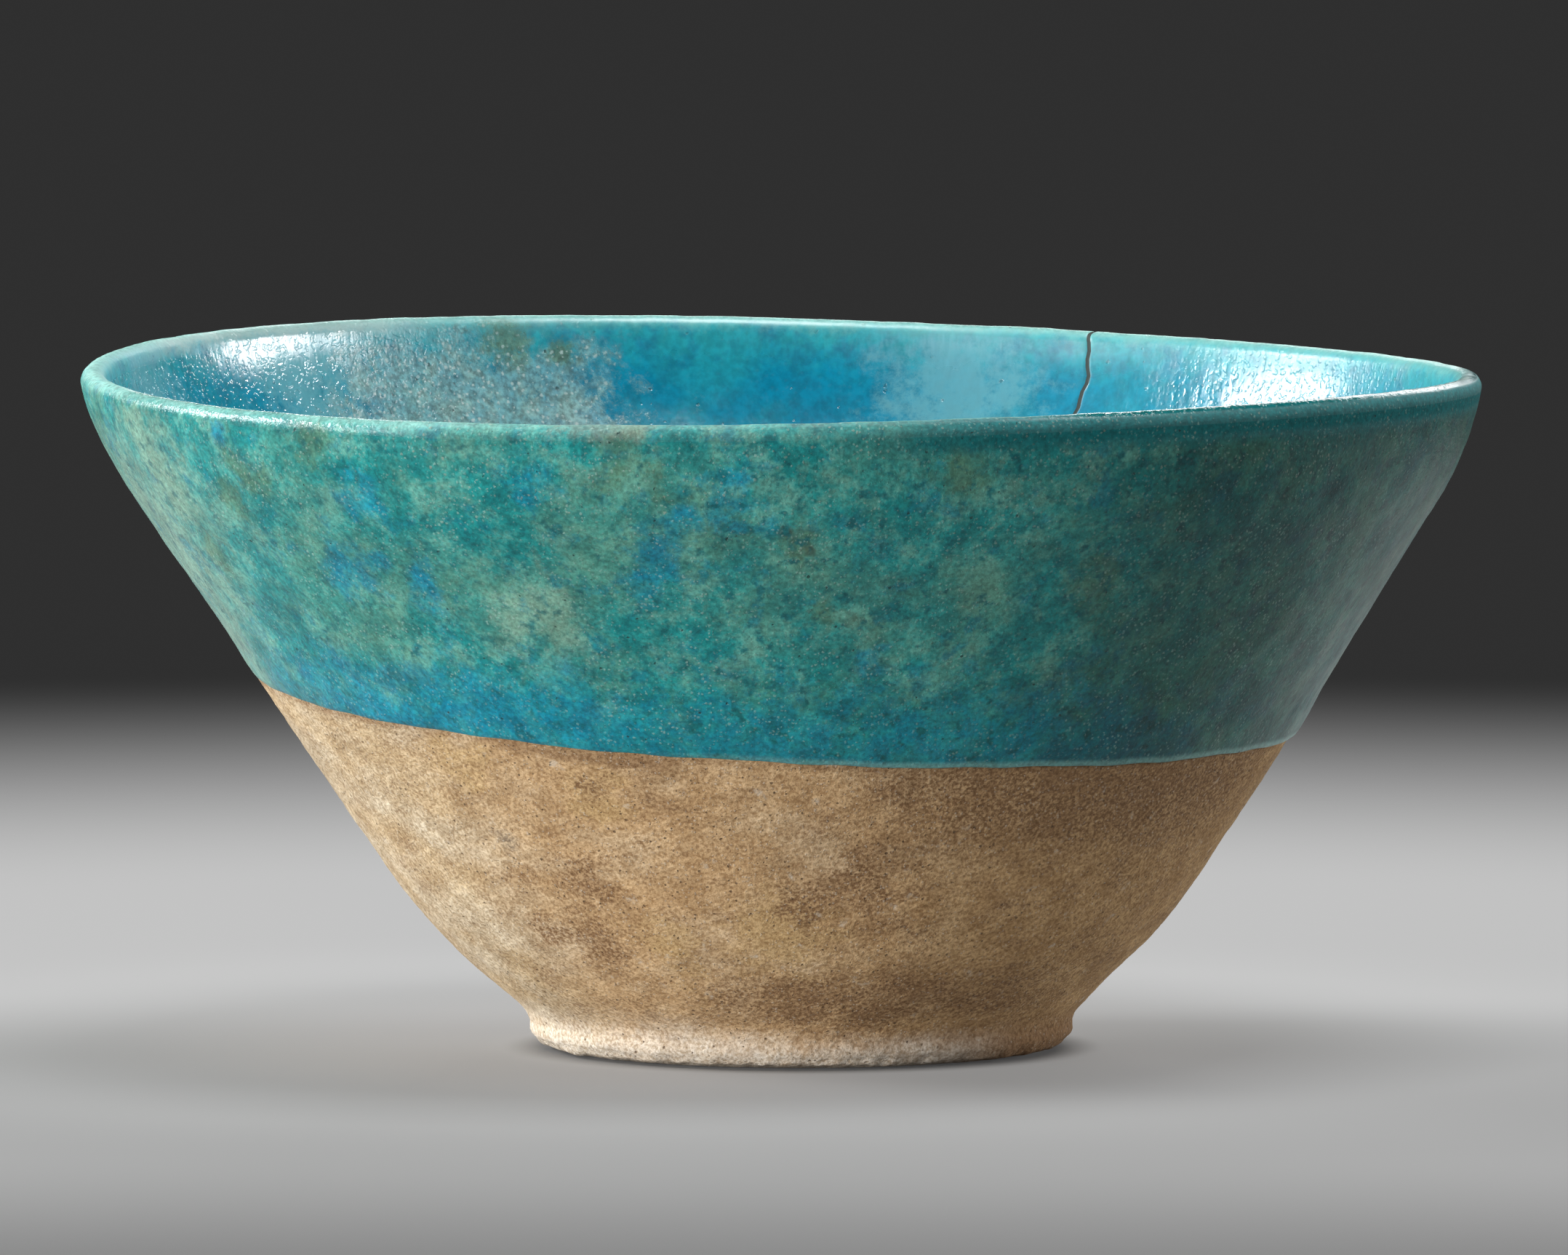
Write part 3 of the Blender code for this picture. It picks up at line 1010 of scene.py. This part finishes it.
def bare_clay():
    """Buff clay, tanned, wiped, stained, dark under the glaze and chalky at the worn foot."""
    group, s, given, result = effect_group("bare_clay", [("Pit Share", 0.4)], LOOK)
    wiped = s.stretched(1.0, 1.0, 2.2)
    smear = s.noise(6 * MM, 6.0, 0.66, wiped)
    drift = s.noise(7.5 * MM, 5.0, 0.64, wiped)
    wiping = s.strokes(0.055, 16, 9 * MM, 0.7 * MM)
    grain = s.effect(GRAIN, Grain_Size=0.36 * MM, Pale_Share=0.26, Pit_Share=given["Pit Share"])
    settled = s.between(grain["Grain"], 0.64, 0.36, 0.40, 1.15)
    clay_ground(s, wiped, wiping)
    s.lay(UMBER_AND_SHADE, s.between(smear, 0.48, 0.72), s.by_side(290, 85, 40, 0.45, 0.85), settled)
    clay_stains(s, drift, smear, settled)
    clay_shades(s, drift, smear, settled)
    chalky_foot(s)
    s.tint(s.mixed(s.between(grain["Grain"], 0.30, 0.68), SOILED, CLEAN))
    s.lay(QUARTZ, grain["Pale"], 0.40)
    s.lay(PIT, grain["Pits"], 0.80)
    s.lay(QUARTZ, s.between(s.noise(2.6 * MM, 3.0, 0.6), 0.64, 0.74), settled, 0.5)
    s.lay(PIT, s.patches(on_wall, [(313, 13.6, 0.9)]))
    s.feed(result["Color"], s.colour)
    s.feed(result["Roughness"], s.between(smear, 0.3, 0.7, 0.95, 0.82))
    grit = s.plus(s.times(grain["Pits"], -0.9), s.times(grain["Pale"], 0.3))
    s.feed(result["Height"], s.plus(grain["Grain"], grit, s.times(wiping, 0.5), s.times(smear, 0.9)))
    return group


CLAY = bare_clay()


def outer_mottling(s, mottle, drift):
    """Teal, green and blue blots, with pale, blue, olive, rusty and dark stains; the pale on the left is
    partly painted sheen.
    """
    cloud = s.noise(19 * MM, 3.0, 0.55)
    blots = s.noise(3.2 * MM, 4.0, 0.65)
    spots = s.noise(1.8 * MM, 3.0, 0.55)
    bent = s.ragged(9 * MM, 14 * MM)
    s.colour = s.mixed(s.between(mottle, 0.34, 0.52), DEEP_TEAL, TURQUOISE)
    s.lay(PALE_GREEN, s.between(mottle, 0.46, 0.63))
    s.lay(SEA_GREEN, s.between(cloud, 0.46, 0.66, 0.0, 0.55))
    s.lay(PALE_GREEN, s.between(blots, 0.48, 0.26, 0.0, 0.85))
    # The pale patches on the left, at 188 to 204 degrees, are partly painted sheen; the rest are pale stains
    pale = [(193, 62.0, 32), (204, 72.0, 20), (188, 50.0, 22), (246, 57.0, 12), (80, 58.0, 16)]
    s.lay(LIGHT_GREEN, s.stains(on_wall, pale, drift, bent), 0.80)
    blue = [(233, 72.6, 7), (219, 79.0, 5), (228, 63.0, 8), (236, 61.2, 8), (259, 65.3, 8), (261, 70.7, 6)]
    blue += [(266, 72.5, 7), (257, 62.6, 6), (249, 74.9, 7), (278, 52.0, 5), (236, 47.1, 12), (296, 42.5, 12)]
    low = s.times(s.between(s.point_value("above_edge"), 0.022, 0.001), s.side(262, 80, 40))
    blued = s.dissolved(s.most(low, s.patches(on_wall, blue, bent)), drift)
    s.lay(s.mixed(s.between(blots, 0.36, 0.62), LIGHT_BLUE, BLUE), blued, 0.86)
    flecks = s.noise(4.6 * MM, 5.0, 0.72, s.moved(0.13, 0.29, 0.41))
    s.lay(FLECK_BLUE, s.between(flecks, 0.53, 0.66, 0.0, 0.65))
    olive = [(220, 73.8, 7), (216, 69.5, 6), (229, 78.0, 7), (207, 61.4, 9), (271, 68.0, 6), (275, 57.8, 7)]
    olive += [(257, 77.5, 7), (285, 76.0, 9), (300, 60.0, 9), (120, 60.0, 10), (30, 66.0, 9), (160, 72.0, 8)]
    s.lay(OLIVE, s.stains(on_wall, olive, drift, bent), 0.55)
    rust = [(272, 66.5, 2.2), (270, 69.0, 1.8), (276, 57.6, 2.5), (297, 73.0, 0.7), (206, 61.0, 2.0)]
    s.lay(RUST, s.stains(on_wall, rust, spots), 0.6)
    dark = s.most(s.between(blots, 0.53, 0.72), s.between(spots, 0.55, 0.70))
    s.lay(BOTTLE_GREEN, dark, s.by_side(218, 58, 30, 0.88, 0.66))


def outer_shades(s):
    """Cloudy tones, with painted shade low on the front and on the right."""
    shade = s.noise(5.5 * MM, 5.0, 0.7, s.moved(0.37, 0.05, 0.19))
    s.tint(s.grey(s.between(shade, 0.32, 0.68, 0.78, 1.18)))
    # Painted shade: the low front and the shaded right are darkened by tints
    s.tint(PAINTED_LOW_SHADE, s.times(s.side(283, 42, 18), s.between(s.point_value("above_edge"), 0.017, 0.004)))
    s.tint(PAINTED_RIGHT_SHADE, s.side(332, 42, 14))


def outer_edges(s, past, near_crest, drift):
    """Pale lip partly painted sheen, dark teal below on the right partly painted shade, worn stretch, pale
    lower edge. Returns the wear.
    """
    shaded = s.side(325, 60, 35)
    lit = s.rest(s.times(s.most(shaded, s.side(272, 36, 20)), 0.80))
    # Partly painted sheen: the pale lip where it is lit, less on the front and the right
    s.lay(LIP_GREEN, near_crest, lit, s.between(drift, 0.35, 0.60, 0.45, 0.95))
    # Partly painted shade: dark teal under the lip on the shaded right
    under_lip = s.times(s.between(past, -0.0062, -0.0036), s.between(past, 0.0001, -0.0006))
    s.lay(LIP_TEAL_AND_SHADE, under_lip, shaded, 0.95)
    worn = s.times(s.between(past, -0.0045, -0.0012), s.between(past, 0.0012, 0.0004))
    worn = s.dissolved(s.times(worn, s.side(255, 6.5, 2.0)), s.noise(2.6 * MM, 5.0, 0.8))
    s.lay(WORN_LIP, worn, 0.45)
    edge = s.between(s.point_value("above_edge"), 0.0010, 0.0002)
    s.lay(LIP_GREEN, edge, s.side(330, 80, 40), 0.6)
    return worn


def outer_roughness(s, mottle, past, near_crest):
    """Satin on the wall and glossy on the crest, but dull at its back, front, left end and outer corner."""
    front = s.times(s.side(266, 36, 18), 0.72)
    left_end = s.times(s.side(174, 34, 16), 0.85)
    crest = s.most(s.by_side(95, 92, 74, 0.14, 0.46), front, left_end)
    rough = s.between(near_crest, 0.0, 1.0, s.between(mottle, 0.30, 0.70, 0.38, 0.28), crest)
    corner = s.times(s.between(past, -0.0009, -0.0016), s.between(past, -0.0052, -0.0036))
    return s.plus(rough, s.times(corner, s.rest(s.side(216, 28, 16)), 0.58))


def outer_glaze_look():
    """Mottled turquoise, bluer towards its lower edge, with stains, grains, pits, a glossy lip, painted sheen
    and painted shade.
    """
    group, s, _, result = effect_group("outer_glaze_look", [], LOOK)
    past = s.point_value("past_crest")
    near_crest = s.between(s.maths("ABSOLUTE", past), 0.0022, 0.0008)
    mottle = s.noise(7 * MM, 6.0, 0.70)
    drift = s.noise(6 * MM, 6.0, 0.82, s.moved(0.31, 0.17, 0.23))
    outer_mottling(s, mottle, drift)
    outer_shades(s)
    worn = outer_edges(s, past, near_crest, drift)
    grain = s.effect(GRAIN, Grain_Size=0.45 * MM, Pale_Share=0.50, Pit_Share=0.10)
    s.tint(s.grey(s.between(grain["Grain"], 0.28, 0.72, 0.70, 1.28)))
    most_grains = s.by_side(325, 65, 35, 0.48, 0.36)
    crowd = s.between(s.noise(6 * MM, 4.0, 0.7), 0.36, 0.64, 0.05, most_grains)
    beige = s.times(s.between(s.height(), 0.060, 0.078), s.maths("GREATER_THAN", grain["Tone"], 0.70))
    s.lay(s.mixed(beige, GLAZED_GRAIN, BEIGE_GRAIN), grain["Pale"], crowd)
    s.lay(GLAZE_PIT, grain["Pits"], 0.85)
    crack = s.crack()
    s.lay(CRACK_DIRT, crack)
    s.feed(result["Color"], s.colour)
    rough = outer_roughness(s, mottle, past, near_crest)
    s.feed(result["Roughness"], s.plus(rough, s.most(s.times(worn, 0.3), s.times(crack, 0.6))))
    dashes = s.times(s.noise(0.7 * MM, 2.0, 0.6), s.by_side(218, 45, 25, 0.7, 2.2))
    lip_zone = s.between(s.maths("ABSOLUTE", past), 0.0038, 0.0022)
    grit = s.plus(s.times(grain["Pits"], -0.9), s.times(grain["Pale"], 0.4))
    s.feed(result["Height"], s.plus(grain["Grain"], grit, s.times(lip_zone, dashes)))
    return group


def inner_pool(s, depth, astray, mottle):
    """The blue, deeper below a wandering shore, clouded, mottled and flecked."""
    shore = s.plus(depth, s.times(astray, 0.012))
    s.colour = s.mixed(s.between(shore, 0.001, 0.009), SHORE_BLUE, POOL_BLUE)
    s.lay(SHORE_BLUE, s.between(s.noise(14 * MM, 3.0, 0.55), 0.44, 0.66, 0.0, 0.55))
    s.lay(DARK_POOL, s.between(mottle, 0.46, 0.70, 0.0, 0.65))
    flecks = s.noise(1.3 * MM, 3.0, 0.6, s.moved(0.21, 0.11, 0.33))
    s.tint(s.grey(s.between(flecks, 0.32, 0.68, 0.84, 1.14)))


def inner_crust_and_haze(s, depth, drift, mottle):
    """A painted pale haze of reflection, a grey crust and olive stains. Returns the crust."""
    bent = s.ragged(7 * MM, 9 * MM)
    # Painted reflection: pale haze near the right highlight and in patches high on the inside
    s.lay(PAINTED_HAZE, s.side(48, 40, 14), 0.10)
    haze_spots = [(75, 74.5, 20), (137, 77.0, 22), (60, 55.0, 16), (163, 78.0, 16)]
    s.lay(PAINTED_HAZE, s.stains(in_bowl, haze_spots, drift, bent), 0.70)
    crusted = s.times(s.side(119.5, 20.5, 6, bent), s.between(depth, 0.040, 0.016))
    crusted = s.most(crusted, s.patches(in_bowl, [(250, 50.0, 16), (350, 40.0, 12)]))
    crust = s.dissolved(s.times(crusted, s.between(depth, 0.0, 0.010, 0.45, 1.0)), drift)
    s.lay(CRUST, crust, s.between(mottle, 0.35, 0.62, 0.95, 0.55))
    s.lay(OLIVE, s.stains(in_bowl, [(115, 79.6, 8), (110, 78.0, 4)], drift), 0.65)
    return crust


def inner_haze(s, depth):
    """Roughness near the lip on four sides, each with its (azimuth, reach, core) and its climb by depth."""
    hazes = [((40, 52, 30), (0.0072, 0.0012, 0.10, 0.28)), ((138, 26, 10), (0.0080, 0.0030, 0.02, 0.09))]
    hazes += [((85, 52, 40), (0.0080, 0.0010, 0.10, 0.28)), ((168, 26, 12), (0.0040, 0.0018, 0.0, 0.50))]
    return s.most(*[s.times(s.side(*sector), s.between(depth, *fall)) for sector, fall in hazes])


def inner_glaze_look():
    """Clear turquoise blue, paler at the lip partly as painted sheen, with painted haze and glare, a grey
    crust on one side and a lumpy gloss beside it.
    """
    group, s, _, result = effect_group("inner_glaze_look", [], LOOK)
    depth = s.point_value("past_crest")
    mottle = s.noise(3.5 * MM, 4.0, 0.60)
    drift = s.noise(4.5 * MM, 6.0, 0.82)
    astray = s.maths("SUBTRACT", drift, 0.5)
    inner_pool(s, depth, astray, mottle)
    crust = inner_crust_and_haze(s, depth, drift, mottle)
    grain = s.effect(GRAIN, Grain_Size=0.60 * MM, Pale_Share=0.42, Pit_Share=0.25)
    grainy = s.between(crust, 0.0, 1.0, 0.02, 1.0)
    s.tint(s.grey(s.between(grain["Grain"], 0.28, 0.72, 0.55, 1.36)), grainy)
    s.lay(CRUST_GRAIN_AND_GLARE, grain["Pale"], grainy, 0.85)
    s.lay(GLAZE_PIT, grain["Pits"], s.between(crust, 0.0, 1.0, 0.40, 0.75))
    lip = s.plus(depth, s.times(astray, 0.005))
    # The pale band at the lip is partly painted sheen
    s.lay(LIP_GREEN, s.between(lip, 0.0030, 0.0004), s.by_side(153, 38, 20, 0.65, 0.40))
    # Painted highlight: a pale glare just under the far-left crest
    s.lay(CRUST_GRAIN_AND_GLARE, s.side(142, 22, 10), s.between(lip, 0.0034, 0.0012), 0.7)
    crack = s.crack()
    s.lay(CRACK_DIRT, crack)
    s.feed(result["Color"], s.colour)
    rough = s.between(mottle, 0.30, 0.70, 0.10, 0.16)
    dull = s.most(inner_haze(s, depth), s.times(crust, 0.25), s.times(crack, 0.6))
    s.feed(result["Roughness"], s.plus(rough, dull))
    lumps = s.between(s.noise(0.7 * MM, 1.0, 0.5), 0.48, 0.74)
    sparkling = s.most(s.side(148, 36, 22), s.times(s.side(34, 26, 10), 0.9))
    lumpy = s.times(lumps, sparkling, s.between(depth, 0.000, 0.006, 0.4, 0.9))
    runs = s.noise(1.4 * MM, 2.0, 0.5, s.stretched(1.0, 1.0, 0.15))
    grit = s.plus(s.times(grain["Grain"], grainy, 0.6), s.times(grain["Pits"], -0.5))
    s.feed(result["Height"], s.plus(grit, lumpy, s.times(runs, 1.3)))
    return group


OUTER_LOOK = outer_glaze_look()
INNER_LOOK = inner_glaze_look()


def finish_material(name):
    """A new material. Returns it with its shading and its shader."""
    material = bpy.data.materials.new(name)
    material.use_nodes = True
    return material, Shading(material.node_tree), material.node_tree.nodes["Principled BSDF"]


def show(s, shader, look, depth):
    """Feeds a look to a shader, its height as relief too fine for the mesh."""
    bump = s.node("Bump")
    s.fill(bump, Distance=depth, Height=look["Height"])
    s.fill(shader, Base_Color=look["Color"], Roughness=look["Roughness"], Normal=bump.outputs["Normal"])


def clay_material(name, pit_share):
    """A finish of bare clay, the more pitted the more it has crumbled."""
    material, s, shader = finish_material(name)
    show(s, shader, s.effect(CLAY, Pit_Share=pit_share), 0.15 * MM)
    return material


def outside_glaze_material():
    """The worn glaze outside."""
    material, s, shader = finish_material("turquoise_glaze_outside")
    show(s, shader, s.effect(OUTER_LOOK), 0.07 * MM)
    s.fill(shader, Specular_IOR_Level=0.35)
    return material


def inside_glaze_material():
    """The glossy glaze inside, which takes the outside's look over the lip."""
    material, s, shader = finish_material("turquoise_glaze_inside")
    outer = s.effect(OUTER_LOOK)
    inner = s.effect(INNER_LOOK)
    inside = s.between(s.point_value("past_crest"), -0.0002, 0.0018)
    look = {name: s.between(inside, 0.0, 1.0, outer[name], inner[name]) for name in ("Roughness", "Height")}
    look["Color"] = s.mixed(inside, outer["Color"], inner["Color"])
    show(s, shader, look, 0.07 * MM)
    s.fill(shader, Coat_Weight=s.times(inside, s.by_side(142, 20, 8, 0.15, 0.45)))
    s.fill(shader, Coat_IOR=1.6, Coat_Roughness=0.24, Specular_IOR_Level=0.9)
    return material


# Stage


def seen_directly(s):
    """1 where the eye looks straight at something or sees it mirrored, 0 where it only lights the bowl."""
    path = s.node("LightPath").outputs
    return s.most(path["Is Camera Ray"], path["Is Glossy Ray"], path["Is Transmission Ray"])


def studio_floor():
    """A pale floor with its own brightness for the eye, painted shadow near the foot and in front, a glow on
    the bowl, fading into the dark behind.
    """
    bpy.ops.object.select_all(action="DESELECT")
    bpy.ops.mesh.primitive_plane_add(size=8.0, location=(0.0, 0.0, 0.0))
    floor = bpy.context.active_object
    floor.name = "studio_floor"
    material, s, shader = finish_material("studio_floor")
    away = s.vector("LENGTH", s.place)
    # Painted shadow: a dark ring in the floor's brightness round the foot
    painted_contact_shadow = s.between(s.vector("DISTANCE", s.place, (FOOT_OFFSET, 0.0, 0.0)), 0.0305, 0.0370, 0.2, 1.0)
    forwards = s.vector("DOT_PRODUCT", s.place, (0.0, -1.0, 0.0))
    # Painted shadow band beside the bowl and painted fall-off of light towards the front
    front = s.times(s.between(forwards, -0.07, 0.02, 1.0, 0.62), s.between(forwards, 0.14, 0.27, 1.0, 0.38))
    brightness = s.times(s.between(away, 0.03, 0.16, 0.32, 0.33), front, painted_contact_shadow)
    # Painted light: the floor near the bowl glows on to it
    glow_on_bowl = s.between(away, 0.13, 0.06, 0.0, 0.80)
    s.fill(shader, Base_Color=s.grey(s.between(away, 0.16, 0.04, 0.13, 0.20)), Roughness=0.85)
    s.fill(shader, Emission_Color=s.grey(brightness))
    s.fill(shader, Emission_Strength=s.most(seen_directly(s), glow_on_bowl))
    s.fill(shader, Alpha=s.between(away, 0.545, 0.225), Specular_IOR_Level=0.1)
    floor.data.materials.append(material)


def softbox(name, side, distance, width, height, watts):
    """A soft rectangular lamp on one side of the bowl, aimed at it and unseen by the camera."""
    side = Vector(side).normalized()
    bpy.ops.object.light_add(type="AREA", location=side * distance + Vector((0.0, 0.0, 0.05)))
    lamp = bpy.context.active_object
    lamp.name = lamp.data.name = name
    lamp.rotation_euler = side.to_track_quat("Z", "Y").to_euler()
    lamp.data.shape = "RECTANGLE"
    lamp.data.size = width
    lamp.data.size_y = height
    lamp.data.energy = watts
    lamp.visible_camera = False


def studio_world():
    """Dark surroundings, with a little fill light."""
    world = bpy.data.worlds.new("studio")
    bpy.context.scene.world = world
    world.use_nodes = True
    s = Shading(world.node_tree)
    backdrop = world.node_tree.nodes["Background"]
    s.fill(backdrop, Color=s.mixed(seen_directly(s), FILL_LIGHT, BACKDROP), Strength=1.0)


def photo_camera():
    """The photograph's long lens, a little above the bowl."""
    bpy.ops.object.camera_add(location=CAMERA_PLACE)
    camera = bpy.context.active_object
    camera.rotation_euler = (CAMERA_AIM - CAMERA_PLACE).to_track_quat("-Z", "Y").to_euler()
    camera.data.sensor_width = SENSOR
    camera.data.lens = SENSOR * FOCAL_PIXELS / IMAGE_WIDTH
    camera.data.clip_end = 50.0
    bpy.context.scene.camera = camera


def dressed(piece, material, node):
    """Finishes a piece and puts it in its solid's place."""
    piece.data.materials.clear()
    piece.data.materials.append(material)
    piece.vertex_groups.clear()
    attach(piece, "root")
    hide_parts(node)


def main():
    """Sets the stage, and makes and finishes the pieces."""
    bpy.context.scene.view_settings.view_transform = "Standard"
    photo_camera()
    studio_floor()
    studio_world()
    softbox("key_softbox", (-0.730, -0.675, 0.105), 1.2, 1.0, 0.26, 14.5)
    softbox("side_softbox", (-0.883, 0.237, 0.405), 1.2, 0.50, 0.36, 12.0)
    softbox("top_softbox", (0.15, -0.05, 0.987), 1.2, 0.6, 0.6, 13.5)
    softbox("far_strip", (0.962, 0.168, 0.210), 1.4, 0.74, 0.13, 7.2)
    softbox("rear_softbox", (0.200, 0.920, 0.336), 1.3, 0.80, 0.20, 3.4)
    dressed(stonepaste_body(), clay_material("stonepaste", 0.65), "moulded_body")
    dressed(slip_fillet(), clay_material("slip", 0.60), "luting_slip")
    dressed(worn_foot_ring(), clay_material("worn_stonepaste", 0.55), "foot_ring")
    inner_coat, outer_coat = glaze_coats()
    dressed(inner_coat, inside_glaze_material(), "inner_glaze")
    dressed(outer_coat, outside_glaze_material(), "outer_glaze")


main()
